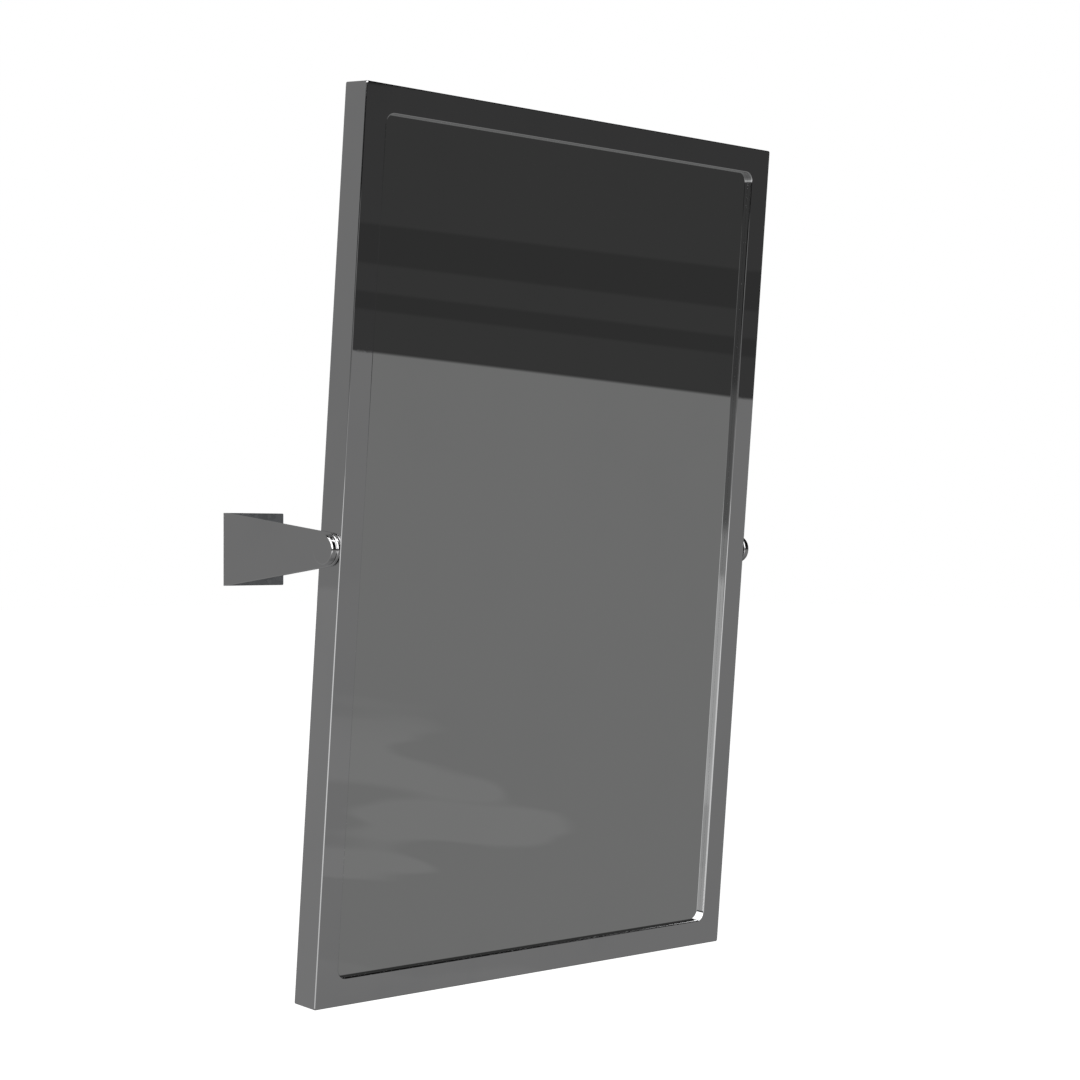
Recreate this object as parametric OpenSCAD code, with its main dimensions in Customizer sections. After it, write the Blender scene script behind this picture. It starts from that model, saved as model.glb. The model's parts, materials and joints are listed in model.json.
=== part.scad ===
// Tilting wall mirror: a framed glass that swings on two pivots between two wall brackets.
//
// All lengths are millimetres. The origin lies on the wall, midway between the brackets and
// level with the pivots. The glass faces -Y, +X is to the right of someone facing it, +Z is up.

/* [Mirror] */
// Width of the frame
mirror_w = 605; // [450:5:900]
// Height of the frame
mirror_h = 914; // [600:2:1200]
// Depth of the frame, front to back
mirror_d = 31.5; // [29:0.5:40]
// Lean of the mirror at rest, top forward, in degrees
tilt = 5; // [-15:1:15]

/* [Frame section] */
// Width of the polished face, from the outer edge to the opening
face_w = 28.5; // [24:0.5:45]
// Thickness of the frame's metal
sheet_t = 1.5; // [1.2:0.1:2]
// Radius of the outer corners, seen from the front
corner_r = 2; // [2:0.5:6]
// Rounding along the outer front edges
edge_r = 1.2; // [0.5:0.1:1.8]
// Rounding along the outer back edges
rear_r = 0.6; // [0.3:0.1:1]
// Radius of the corners of the opening
opening_r = 10; // [6:1:30]
// Rounding of the edge where the face turns in to the glass
lip_r = 1.5; // [1:0.1:3]
// Depth from the polished face to the front of the glass
rebate_d = 5.6; // [4.4:0.2:8]
// Width of the flange inside the back edge
flange_w = 10; // [9:0.5:12]

/* [Glass and back] */
// Thickness of the mirror glass
glass_t = 4; // [3:0.5:6]
// How far the glass runs behind the face, past the opening
glass_lap = 12; // [8:0.5:12]
// Thickness of the glazing tape between lip and glass
tape_t = 0.3; // [0.3:0.1:1]
// Thickness of the board behind the glass
board_t = 3; // [2:0.5:4]
// Thickness of the back pan's steel
pan_t = 0.8; // [0.6:0.1:1.2]
// Outer bend radius of the pressed pan
pan_bend_r = 3; // [2:0.5:4]
// Corner radius of the pan's tub
pan_corner_r = 14; // [8:1:30]
// Number of stiffening beads pressed into the pan
bead_n = 3; // [1:1:5]
// Outer radius of a stiffening bead
bead_r = 5; // [3:0.5:6]
// Length of a setting block beside the glass
block_len = 40; // [20:5:80]

/* [Back screws] */
// Shank radius of a back screw
screw_r = 1.95; // [1.5:0.05:2.1]
// Length of a back screw under its head
screw_len = 8; // [5:0.5:10]
// Head radius of a back screw
screw_head_r = 3.6; // [3:0.1:4]
// Head height of a back screw
screw_head_h = 2.2; // [1.8:0.1:2.6]

/* [Wall brackets] */
// Distance from the wall to the pivot axis
reach = 166; // [150:1:220]
// Side of the square wall plate
plate_w = 75; // [65:1:100]
// Thickness of the wall plate
plate_t = 5; // [4:0.5:8]
// Radius of the plate's corners
plate_corner_r = 1.2; // [1:0.1:3]
// Rounding along the plate's front edges
plate_edge_r = 0.8; // [0.4:0.1:0.9]
// Thickness of the arm
arm_t = 3; // [2.5:0.25:5]
// Radius of the arm's round end
arm_end_r = 17; // [15:0.5:22]
// Rounding along the arm's edges
arm_edge_r = 0.8; // [0.3:0.1:1.1]
// Fillet between the plate and the arm
weld_r = 3; // [1:0.5:6]

/* [Wall screw holes] */
// Distance from the plate's edges to the hole centres
hole_inset = 15; // [13:0.5:20]
// Radius of a wall screw hole
hole_r = 2.75; // [2:0.25:3.5]
// Radius of the countersink at the plate's face
sink_r = 5.5; // [5:0.25:6.5]
// Depth of the countersink
sink_d = 2.75; // [2:0.25:3]

/* [Pivots] */
// Radius of the stud's shoulder, which turns in the bush
shoulder_r = 5; // [4.5:0.25:6]
// Radius of the stud's threaded ends
thread_r = 4; // [3:0.25:4]
// Wall thickness of the bush
bush_t = 1.5; // [1:0.25:2.5]
// Thickness of the bush's flange, between frame and arm
bush_flange_t = 0.8; // [0.5:0.1:2]
// Radius of the bush's flange
bush_flange_r = 12; // [10:0.5:14]
// Height of the pivot block inside the frame
pivot_block_h = 50; // [30:2:80]
// Thickness of the washer outside the arm
washer_t = 0.8; // [0.5:0.1:1.2]
// Radius of that washer
washer_r = 10; // [9:0.5:10.5]
// Thickness of the disc spring's steel
spring_t = 0.5; // [0.3:0.1:0.6]
// Free height of the disc spring's cone
spring_rise = 0.5; // [0.3:0.1:0.8]
// Radius of the round cap
cap_r = 15.25; // [14:0.25:20]
// Height of the round cap
cap_h = 6; // [5:0.25:9]
// Rounding of the cap's rim
cap_edge_r = 1.4; // [0.5:0.1:2]

/* [Hidden] */
$fn = 72;

// Clearances
run_gap = 0.1;       // between flat faces that turn past each other
bush_gap = 0.05;     // round the shoulder, in the bush
press_gap = 0.02;    // round the bush, in the arm
thread_gap = 0.05;   // round a thread
hole_gap = 0.2;      // round a stud or screw in a plain hole
part_gap = 0.3;      // between hidden pieces that don't bear on each other
cap_gap = 0.3;       // between the cap's rim and the arm
rim_gap = 0.5;       // round the pan's rim, inside the frame
block_clear = 3;     // between a pivot block and the glass
washer_room = 1.5;   // round the washer and spring, in the cap
cut = 1;             // how far a cutting shape runs past the solid

// Depths in the frame, measured from its middle: + is towards the viewer
z_front = mirror_d / 2;
z_rear = -mirror_d / 2;
z_inside = z_front - sheet_t;
z_glass = z_front - rebate_d;
z_lip = z_glass + tape_t;
z_board = z_glass - glass_t;
z_pan = z_board - board_t;
rim_set = pan_t + hole_gap;
z_flange = z_rear + rim_set;
z_rim = z_flange - pan_t;
flange_front = z_flange + sheet_t;

// Opening, glass, board and pan
opening_w = mirror_w - 2 * face_w;
opening_h = mirror_h - 2 * face_w;
glass_w = opening_w + 2 * glass_lap;
glass_h = opening_h + 2 * glass_lap;
glass_corner_r = 4;
tape_set = 0.2;
board_set = 1;
pan_set = 2;
pan_w = glass_w - 2 * pan_set;
pan_h = glass_h - 2 * pan_set;
rim_w = mirror_w - 2 * (sheet_t + rim_gap);
rim_h = mirror_h - 2 * (sheet_t + rim_gap);
rim_corner_r = 3;
flange_corner_r = 6;
bead_end_gap = 70;
bead_len = pan_w - 2 * bead_end_gap;
bead_pitch = pan_h / (bead_n + 1);
glass_gap = face_w - glass_lap - sheet_t;
block_place = 0.3;

// Screws round the back
screw_inset = sheet_t + flange_w / 2;
screw_x = mirror_w / 2 - screw_inset;
screw_y = mirror_h / 2 - screw_inset;
screw_places = concat(
    [for (x = [-screw_x, 0, screw_x], y = [-screw_y, screw_y]) [x, y]],
    [for (x = [-screw_x, screw_x], y = [-screw_y / 3, screw_y / 3]) [x, y]]
);
recess_w = 0.9;
recess_len = 4.2;
recess_d = 1.2;

// Pivots, measured along X from the middle of the mirror
x_side = mirror_w / 2;
x_block = x_side - sheet_t;
block_w = glass_gap - block_clear;
x_arm_in = x_side + run_gap + bush_flange_t;
x_arm_out = x_arm_in + arm_t;
x_washer_out = x_arm_out + washer_t;
x_seat = x_washer_out + run_gap + spring_t + spring_rise;
x_cap_in = x_arm_out + cap_gap;
x_cap_out = x_cap_in + cap_h;
cap_top_t = 1.2;
cap_recess_r = washer_r + washer_room;
bush_r = shoulder_r + bush_gap + bush_t;
eye_r = bush_r + press_gap;
stud_inset = 1;
block_edge = 1.5;

// Wall plates and arms
plate_mid_x = x_arm_out - plate_w / 2;
hole_step = plate_w / 2 - hole_inset;
arm_base = plate_w / 2;
arm_run = reach - plate_t;
arm_far = sqrt(arm_run * arm_run + arm_base * arm_base);
arm_tangent = atan2(arm_base, arm_run) + acos(arm_end_r / arm_far);
arm_edge_len = sqrt(arm_far * arm_far - arm_end_r * arm_end_r) + 2 * plate_t;
arm_core_r = arm_end_r - arm_edge_r;
arm_lap = 5; // degrees that the two halves of the arm's round end run into each other

chrome = [0.78, 0.79, 0.81];
silver_glass = [0.86, 0.89, 0.90];
bright_zinc = [0.66, 0.68, 0.70];
grey_steel = [0.48, 0.49, 0.51];
dark_rubber = [0.10, 0.10, 0.11];
tape_foil = [0.76, 0.77, 0.77];
brown_board = [0.42, 0.28, 0.17];
white_nylon = [0.90, 0.89, 0.84];

// ---------------------------------------------------------------- shared shapes

// Quarter of a disc, in the +x +y corner
module quarter(r) {
    intersection() {
        circle(r);
        square(r);
    }
}

// Rectangle with round corners, centred
module rounded_rect(w, h, r) {
    square([w - 2 * r, h], center = true);
    square([w, h - 2 * r], center = true);
    for (x = [-1, 1], y = [-1, 1])
        translate([x * (w / 2 - r), y * (h / 2 - r)]) circle(r);
}

// Sweeps a section round a rectangle with round corners. The section's x is measured
// outward from the centre of a corner, and its y stands up from the sheet.
module ring(w, h, r) {
    for (k = [0 : 3]) {
        across = k % 2 == 0 ? w : h;
        along = k % 2 == 0 ? h : w;
        rotate([0, 0, 90 * k]) translate([across / 2 - r, along / 2 - r, 0]) {
            rotate([90, 0, 0]) linear_extrude(along - 2 * r) children();
            rotate_extrude(angle = 90) children();
        }
    }
}

// Puts a piece drawn flat, its front up, on the pivots at the mirror's lean
module on_mirror() {
    translate([0, -reach, 0]) rotate([tilt, 0, 0]) rotate([90, 0, 0]) children();
}

// Puts a piece drawn along Z on the right pivot axis, its +Z outward
module on_axis() {
    translate([0, -reach, 0]) rotate([tilt, 0, 0]) rotate([0, 90, 0]) children();
}

// The left-hand copy of a right-hand piece
module left() {
    mirror([1, 0, 0]) children();
}

// ---------------------------------------------------------------- frame

// Outer wall and front edge of the frame
module outer_section() {
    difference() {
        union() {
            translate([0, z_rear]) square([corner_r - rear_r, rear_r]);
            translate([corner_r - rear_r, z_rear + rear_r]) rotate(-90) quarter(rear_r);
            translate([0, z_rear + rear_r]) square([corner_r, mirror_d - rear_r - edge_r]);
            translate([0, z_front - edge_r]) square([corner_r - edge_r, edge_r]);
            translate([corner_r - edge_r, z_front - edge_r]) quarter(edge_r);
        }
        translate([-cut, z_rear - cut])
            square([corner_r - sheet_t + cut, mirror_d - sheet_t + cut]);
    }
}

// Lip that turns in from the face to the glass
module lip_section() {
    translate([opening_r, z_lip]) square([sheet_t, z_front - lip_r - z_lip]);
    translate([opening_r + lip_r, z_front - lip_r]) rotate(90) quarter(lip_r);
}

module frame_face() {
    translate([0, 0, z_inside]) linear_extrude(sheet_t) difference() {
        square([mirror_w - 2 * corner_r, mirror_h - 2 * corner_r], center = true);
        rounded_rect(opening_w + 2 * lip_r, opening_h + 2 * lip_r, opening_r + lip_r);
    }
}

module frame_flange() {
    inner_w = mirror_w - 2 * (sheet_t + flange_w);
    inner_h = mirror_h - 2 * (sheet_t + flange_w);
    translate([0, 0, z_flange]) linear_extrude(sheet_t) difference() {
        rounded_rect(mirror_w - sheet_t, mirror_h - sheet_t, corner_r - sheet_t / 2);
        rounded_rect(inner_w, inner_h, flange_corner_r);
    }
}

module screw_holes() {
    for (place = screw_places)
        translate([place[0], place[1], z_rim - cut])
            cylinder(h = pan_t + sheet_t + 2 * cut, r = screw_r + hole_gap);
}

module mirror_frame() {
    color(chrome) on_mirror() difference() {
        union() {
            ring(mirror_w, mirror_h, corner_r) outer_section();
            ring(opening_w, opening_h, opening_r) lip_section();
            frame_face();
            frame_flange();
        }
        screw_holes();
        for (x = [-1, 1])
            translate([x * (x_side + cut), 0, 0]) rotate([0, -90 * x, 0])
                cylinder(h = sheet_t + 2 * cut, r = shoulder_r + hole_gap);
    }
}

// ---------------------------------------------------------------- glass and back

module mirror_glass() {
    color(silver_glass) on_mirror() translate([0, 0, z_board]) linear_extrude(glass_t)
        rounded_rect(glass_w, glass_h, glass_corner_r);
}

module glazing_tape() {
    hole_w = opening_w + 2 * tape_set;
    hole_h = opening_h + 2 * tape_set;
    color(tape_foil) on_mirror() translate([0, 0, z_glass]) linear_extrude(tape_t)
        difference() {
            rounded_rect(glass_w - 2 * tape_set, glass_h - 2 * tape_set, glass_corner_r);
            rounded_rect(hole_w, hole_h, opening_r + tape_set);
        }
}

// One block fills the gap between the glass and the wall of the frame
module setting_block() {
    h = z_inside - z_board;
    translate([0, 0, z_board]) linear_extrude(h)
        square([glass_gap, block_len], center = true);
}

module setting_blocks() {
    x = glass_w / 2 + glass_gap / 2;
    y = glass_h / 2 + glass_gap / 2;
    color(dark_rubber) on_mirror() {
        for (sx = [-1, 1], sy = [-1, 1]) {
            translate([sx * x, sy * glass_h * block_place, 0]) setting_block();
            translate([sx * glass_w * block_place, sy * y, 0]) rotate(90) setting_block();
        }
    }
}

module backing_board() {
    color(brown_board) on_mirror() translate([0, 0, z_pan]) linear_extrude(board_t)
        rounded_rect(glass_w - 2 * board_set, glass_h - 2 * board_set, glass_corner_r);
}

// Floor edge, wall and two bends of the pressed pan
module pan_section() {
    inner_r = pan_bend_r - pan_t;
    wall_foot = z_flange + inner_r;
    difference() {
        union() {
            translate([0, wall_foot]) square([pan_corner_r, z_pan - pan_bend_r - wall_foot]);
            translate([0, z_pan - pan_bend_r]) square([pan_corner_r - pan_bend_r, pan_bend_r]);
            translate([pan_corner_r - pan_bend_r, z_pan - pan_bend_r]) quarter(pan_bend_r);
        }
        translate([-cut, wall_foot - cut])
            square([pan_corner_r - pan_t + cut, z_pan - pan_bend_r - wall_foot + cut]);
        translate([-cut, z_pan - pan_bend_r])
            square([pan_corner_r - pan_bend_r + cut, inner_r]);
        translate([pan_corner_r - pan_bend_r, z_pan - pan_bend_r]) quarter(inner_r);
    }
    translate([pan_corner_r + inner_r, wall_foot]) rotate(180) difference() {
        quarter(pan_bend_r);
        quarter(inner_r);
    }
}

// Half-round bead with ball ends, along X
module bead(r) {
    translate([-bead_len / 2, 0, 0]) rotate([0, 90, 0]) cylinder(h = bead_len, r = r);
    for (x = [-1, 1]) translate([x * bead_len / 2, 0, 0]) sphere(r);
}

module beads(r) {
    for (k = [1 : bead_n]) translate([0, k * bead_pitch - pan_h / 2, z_pan]) bead(r);
}

module pan_floor() {
    floor_w = pan_w - 2 * pan_corner_r;
    floor_h = pan_h - 2 * pan_corner_r;
    difference() {
        union() {
            translate([0, 0, z_pan - pan_t]) linear_extrude(pan_t)
                square([floor_w, floor_h], center = true);
            beads(bead_r);
        }
        beads(bead_r - pan_t);
        translate([-floor_w / 2, -floor_h / 2, z_pan]) cube([floor_w, floor_h, bead_r + cut]);
    }
}

module pan_rim() {
    grow = pan_bend_r - pan_t;
    translate([0, 0, z_rim]) linear_extrude(pan_t) difference() {
        rounded_rect(rim_w, rim_h, rim_corner_r);
        rounded_rect(pan_w + 2 * grow, pan_h + 2 * grow, pan_corner_r + grow);
    }
}

module rear_pan() {
    color(bright_zinc) on_mirror() difference() {
        union() {
            ring(pan_w, pan_h, pan_corner_r) pan_section();
            pan_floor();
            pan_rim();
        }
        screw_holes();
    }
}

// Pan-head screw with a cross recess, its head on z = 0 and its shank along +Z
module back_screw() {
    dome_r = (screw_head_r * screw_head_r + screw_head_h * screw_head_h) / (2 * screw_head_h);
    difference() {
        union() {
            cylinder(h = screw_len, r = screw_r);
            rotate_extrude() intersection() {
                translate([0, dome_r - screw_head_h]) circle(dome_r);
                translate([0, -screw_head_h]) square([screw_head_r, screw_head_h]);
            }
        }
        for (a = [0, 90]) rotate(a)
            translate([-recess_len / 2, -recess_w / 2, -screw_head_h - cut])
                cube([recess_len, recess_w, recess_d + cut]);
    }
}

module rear_pan_screws() {
    color(bright_zinc) on_mirror() for (place = screw_places)
        translate([place[0], place[1], z_rim]) back_screw();
}

// ---------------------------------------------------------------- pivots

// Steel block inside the side of the frame, tapped for the stud
module pivot_block() {
    d = z_inside - flange_front - 2 * part_gap;
    mid = (z_inside + flange_front) / 2;
    bevel = block_edge * sqrt(2);
    on_mirror() difference() {
        translate([x_block - block_w, -pivot_block_h / 2, mid - d / 2])
            cube([block_w, pivot_block_h, d]);
        translate([x_block + cut, 0, 0]) rotate([0, -90, 0])
            cylinder(h = block_w + 2 * cut, r = thread_r + thread_gap);
        for (y = [-1, 1])
            translate([x_block - block_w, y * pivot_block_h / 2, mid]) rotate([0, 0, 45])
                cube([bevel, bevel, d + 2 * cut], center = true);
    }
}

// Shouldered stud: one thread in the block, the other in the cap
module pivot_stud() {
    foot = x_block - block_w + stud_inset;
    tip = x_cap_out - cap_top_t - part_gap;
    on_axis() {
        translate([0, 0, foot]) cylinder(h = x_block - foot, r = thread_r);
        translate([0, 0, x_block]) cylinder(h = x_seat - x_block, r = shoulder_r);
        translate([0, 0, x_seat]) cylinder(h = tip - x_seat, r = thread_r);
    }
}

// Flanged bush pressed into the arm's eye
module pivot_bush() {
    translate([0, -reach, 0]) rotate([0, 90, 0]) difference() {
        union() {
            translate([0, 0, x_side + run_gap]) cylinder(h = bush_flange_t, r = bush_flange_r);
            translate([0, 0, x_arm_in]) cylinder(h = arm_t, r = bush_r);
        }
        translate([0, 0, x_side]) cylinder(h = 2 * arm_t + cut, r = shoulder_r + bush_gap);
    }
}

module pivot_washer() {
    translate([0, -reach, 0]) rotate([0, 90, 0]) translate([0, 0, x_arm_out]) difference() {
        cylinder(h = washer_t, r = washer_r);
        translate([0, 0, -cut]) cylinder(h = washer_t + 2 * cut, r = shoulder_r + part_gap);
    }
}

// Disc spring: a shallow cone between the washer and the cap
module disc_spring() {
    inner = shoulder_r + hole_gap;
    base = x_washer_out + run_gap;
    on_axis() translate([0, 0, base]) rotate_extrude() polygon([
        [washer_r, 0],
        [washer_r, spring_t],
        [inner, spring_t + spring_rise],
        [inner, spring_rise]
    ]);
}

// Hollow round cap, screwed on the stud against its shoulder
module pivot_cap() {
    on_axis() rotate_extrude() difference() {
        union() {
            translate([0, x_cap_in]) square([cap_r, cap_h - cap_edge_r]);
            translate([0, x_cap_out - cap_edge_r]) square([cap_r - cap_edge_r, cap_edge_r]);
            translate([cap_r - cap_edge_r, x_cap_out - cap_edge_r]) quarter(cap_edge_r);
        }
        translate([-cut, x_cap_in - cut])
            square([cap_recess_r + cut, x_seat - x_cap_in + cut]);
        translate([-cut, x_cap_in - cut])
            square([thread_r + thread_gap + cut, cap_h - cap_top_t + cut]);
    }
}

// ---------------------------------------------------------------- wall brackets

// Half of the arm's cross-section, from its middle out to a softened edge
module arm_section() {
    square([arm_core_r, arm_t]);
    translate([arm_core_r, arm_edge_r]) square([arm_edge_r, arm_t - 2 * arm_edge_r]);
    translate([arm_core_r, arm_t - arm_edge_r]) quarter(arm_edge_r);
    translate([arm_core_r, arm_edge_r]) rotate(-90) quarter(arm_edge_r);
}

// The arm, flat: its eye at the origin and its root along +x
module arm_flat() {
    core_r = (arm_core_r + eye_r) / 2;
    core_y = arm_core_r / 2;
    root_x = arm_edge_len * sin(arm_tangent);
    root_y = core_y - arm_edge_len * cos(arm_tangent);
    intersection() {
        union() {
            for (side = [0, 1]) mirror([0, side, 0]) rotate(arm_tangent) {
                rotate_extrude(angle = 180 - arm_tangent + arm_lap) arm_section();
                rotate([90, 0, 0]) linear_extrude(arm_edge_len) arm_section();
            }
            cylinder(h = arm_t, r = core_r);
            linear_extrude(arm_t)
                polygon([[0, -core_y], [root_x, -root_y], [root_x, root_y], [0, core_y]]);
        }
        translate([-arm_end_r - cut, -arm_base, -cut])
            cube([reach + arm_end_r + cut, plate_w, arm_t + 2 * cut]);
    }
}

// Front edge of the wall plate
module plate_section() {
    square([plate_corner_r, plate_t - plate_edge_r]);
    translate([0, plate_t - plate_edge_r]) square([plate_corner_r - plate_edge_r, plate_edge_r]);
    translate([plate_corner_r - plate_edge_r, plate_t - plate_edge_r]) quarter(plate_edge_r);
}

// Square wall plate, its back on the wall
module wall_plate() {
    core = plate_w - plate_corner_r - plate_edge_r;
    translate([plate_mid_x, 0, 0]) rotate([90, 0, 0]) {
        ring(plate_w, plate_w, plate_corner_r) plate_section();
        linear_extrude(plate_t) square(core, center = true);
    }
}

module wall_holes() {
    for (x = [-1, 1], z = [-1, 1])
        translate([plate_mid_x + x * hole_step, 0, z * hole_step]) rotate([90, 0, 0]) {
            translate([0, 0, -cut]) cylinder(h = plate_t + 2 * cut, r = hole_r);
            translate([0, 0, plate_t - sink_d]) cylinder(h = sink_d, r1 = hole_r, r2 = sink_r);
        }
}

// Fillet in the corner of plate and arm, run a little way into both
module weld_fillet() {
    h = plate_w - 2 * (plate_edge_r + weld_r);
    translate([x_arm_in, -plate_t, -h / 2]) rotate([0, 0, 180]) linear_extrude(h) difference() {
        translate([-cut, -cut]) square(weld_r + cut);
        translate([weld_r, weld_r]) circle(weld_r);
    }
}

module bracket() {
    difference() {
        union() {
            wall_plate();
            translate([x_arm_in, -reach, 0]) rotate([90, 0, 90]) arm_flat();
            weld_fillet();
        }
        wall_holes();
        translate([x_arm_in - cut, -reach, 0]) rotate([0, 90, 0])
            cylinder(h = arm_t + 2 * cut, r = eye_r);
    }
}

// ---------------------------------------------------------------- left and right pieces

module pivot_block_left() { color(grey_steel) left() pivot_block(); }
module pivot_block_right() { color(grey_steel) pivot_block(); }
module pivot_stud_left() { color(bright_zinc) left() pivot_stud(); }
module pivot_stud_right() { color(bright_zinc) pivot_stud(); }
module disc_spring_left() { color(grey_steel) left() disc_spring(); }
module disc_spring_right() { color(grey_steel) disc_spring(); }
module pivot_cap_left() { color(chrome) left() pivot_cap(); }
module pivot_cap_right() { color(chrome) pivot_cap(); }
module bracket_left() { color(chrome) left() bracket(); }
module bracket_right() { color(chrome) bracket(); }
module pivot_bush_left() { color(white_nylon) left() pivot_bush(); }
module pivot_bush_right() { color(white_nylon) pivot_bush(); }
module pivot_washer_left() { color(white_nylon) left() pivot_washer(); }
module pivot_washer_right() { color(white_nylon) pivot_washer(); }

mirror_frame();
mirror_glass();
glazing_tape();
setting_blocks();
backing_board();
rear_pan();
rear_pan_screws();
pivot_block_left();
pivot_block_right();
pivot_stud_left();
pivot_stud_right();
disc_spring_left();
disc_spring_right();
pivot_cap_left();
pivot_cap_right();
bracket_left();
bracket_right();
pivot_bush_left();
pivot_bush_right();
pivot_washer_left();
pivot_washer_right();
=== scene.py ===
# %% [markdown]
# # A wall mirror that swings on two pivots
#
# The real object is a sheet of mirror glass in a polished frame. Two short arms hold it off the
# wall, and it leans forward or back about a line through its middle. The exact shapes come from
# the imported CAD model, so this lesson is about what makes polished metal, glass and plain steel
# look right: their finish, the light round them, and the camera.

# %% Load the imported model
import json
import math

import bpy
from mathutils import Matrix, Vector

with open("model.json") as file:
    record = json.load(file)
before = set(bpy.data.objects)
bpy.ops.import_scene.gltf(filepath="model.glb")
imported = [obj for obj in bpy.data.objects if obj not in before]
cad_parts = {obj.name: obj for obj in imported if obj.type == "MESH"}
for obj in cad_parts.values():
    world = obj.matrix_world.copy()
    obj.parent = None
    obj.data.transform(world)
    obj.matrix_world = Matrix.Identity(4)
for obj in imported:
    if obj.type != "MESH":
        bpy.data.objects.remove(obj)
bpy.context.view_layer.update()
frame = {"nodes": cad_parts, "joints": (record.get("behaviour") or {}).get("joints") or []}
nodes = frame["nodes"]
print("pieces from the CAD model:", len(nodes))

# %% [markdown]
# ## Camera
#
# A long lens stands at pivot height, half to the left of the mirror, and looks level. A level
# camera keeps upright lines upright, and a small vertical shift frames the object without
# tilting the camera.

# %% Place the camera
scene = bpy.context.scene
CAMERA_PLACE = Vector((-1.8398, -2.0117, 0.0041))
LOOK_ALONG = Vector((0.70364, 0.71056, 0.0))
LENS_MM = 81.19
SENSOR_MM = 36.0
SHIFT_UP = 0.00497

camera_data = bpy.data.cameras.new("long_lens")
camera_data.lens = LENS_MM
camera_data.sensor_width = SENSOR_MM
camera_data.shift_y = SHIFT_UP
camera = bpy.data.objects.new("long_lens", camera_data)
camera.location = CAMERA_PLACE
camera.rotation_euler = LOOK_ALONG.to_track_quat("-Z", "Y").to_euler()
scene.collection.objects.link(camera)
scene.camera = camera
scene.view_settings.view_transform = "Standard"
print("camera is", round(CAMERA_PLACE.length, 3), "m from the wall's middle point")

# %% [markdown]
# ## Helpers for node trees
#
# A material is a small graph of nodes. It could be drawn by hand in the shader editor, but a
# few short helpers keep a graph readable as text: one gives a socket its number or its link,
# one adds a node, and the rest wrap the sums that come back in every finish.


# %% Feed a socket, add a node
def feed(tree, socket, value):
    """Joins a socket to another node's output, or sets its plain value."""
    if isinstance(value, bpy.types.NodeSocket):
        tree.links.new(value, socket)
    else:
        socket.default_value = value


def add_node(tree, kind, at=(0, 0), **values):
    """Adds a node. A value goes to the node's own setting or, if it has none, to its input."""
    node = tree.nodes.new(kind)
    node.location = at
    for name, value in values.items():
        if hasattr(node, name):
            setattr(node, name, value)
        else:
            feed(tree, node.inputs[name.replace("_", " ")], value)
    return node


# %% Sums, ramps and blends
def sum_node(tree, operation, a, b=0.0, at=(0, 0)):
    """One step of arithmetic."""
    node = add_node(tree, "ShaderNodeMath", at, operation=operation)
    feed(tree, node.inputs[0], a)
    feed(tree, node.inputs[1], b)
    return node.outputs[0]


def flipped(tree, value, at=(0, 0)):
    """1 where the value is 0, and 0 where it is 1."""
    return sum_node(tree, "SUBTRACT", 1.0, value, at)


def ramp(tree, value, low, high, at=(0, 0)):
    """0 at low, 1 at high, with soft ends."""
    node = add_node(tree, "ShaderNodeMapRange", at, interpolation_type="SMOOTHSTEP")
    feed(tree, node.inputs["From Min"], low)
    feed(tree, node.inputs["From Max"], high)
    feed(tree, node.inputs["Value"], value)
    return node.outputs["Result"]


def spread(tree, value, low, high, at=(0, 0)):
    """Turns 0..1 into low..high."""
    node = add_node(tree, "ShaderNodeMapRange", at)
    feed(tree, node.inputs["To Min"], low)
    feed(tree, node.inputs["To Max"], high)
    feed(tree, node.inputs["Value"], value)
    return node.outputs["Result"]


def blend_values(tree, factor, a, b, at=(0, 0)):
    """a where factor is 0, b where it is 1."""
    node = add_node(tree, "ShaderNodeMix", at, data_type="FLOAT")
    for socket, value in zip((node.inputs[0], node.inputs[2], node.inputs[3]), (factor, a, b)):
        feed(tree, socket, value)
    return node.outputs[0]


def blend_colours(tree, factor, a, b, at=(0, 0)):
    """Colour a where factor is 0, colour b where it is 1."""
    node = add_node(tree, "ShaderNodeMix", at, data_type="RGBA")
    for socket, value in zip((node.inputs[0], node.inputs[6], node.inputs[7]), (factor, a, b)):
        feed(tree, socket, value)
    return node.outputs[2]


# %% Vectors, noise and grey levels
def vector_node(tree, operation, a, b=None, at=(0, 0)):
    """One step of vector arithmetic. Gives the node, because some steps end in a number."""
    node = add_node(tree, "ShaderNodeVectorMath", at, operation=operation)
    feed(tree, node.inputs[0], a)
    if b is not None:
        feed(tree, node.inputs[1], b)
    return node


def noise(tree, place, size_mm, detail=2.0, at=(0, 0)):
    """Cloudy noise from 0 to 1, with lumps of about size_mm, on places in metres."""
    scale = sum_node(tree, "DIVIDE", 1000.0, size_mm, (at[0] - 200, at[1] - 150))
    node = add_node(tree, "ShaderNodeTexNoise", at, Vector=place, Scale=scale, Detail=detail)
    return node.outputs["Fac"]


def linear(level):
    """Linear value of a screen grey from 0 to 255."""
    c = level / 255
    return c / 12.92 if c <= 0.04045 else ((c + 0.055) / 1.055) ** 2.4


print("linear value of a mid grey:", round(linear(107), 4))

# %% [markdown]
# ## Node groups: one tool for each kind of mark
#
# Real finishes share a few kinds of mark: fine grain, the haze and hairlines that a polishing
# cloth leaves, the rings of a lathe. Each could be drawn again in every material. A node group
# draws it once, with named inputs, so that each material only says how large the mark is.


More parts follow.
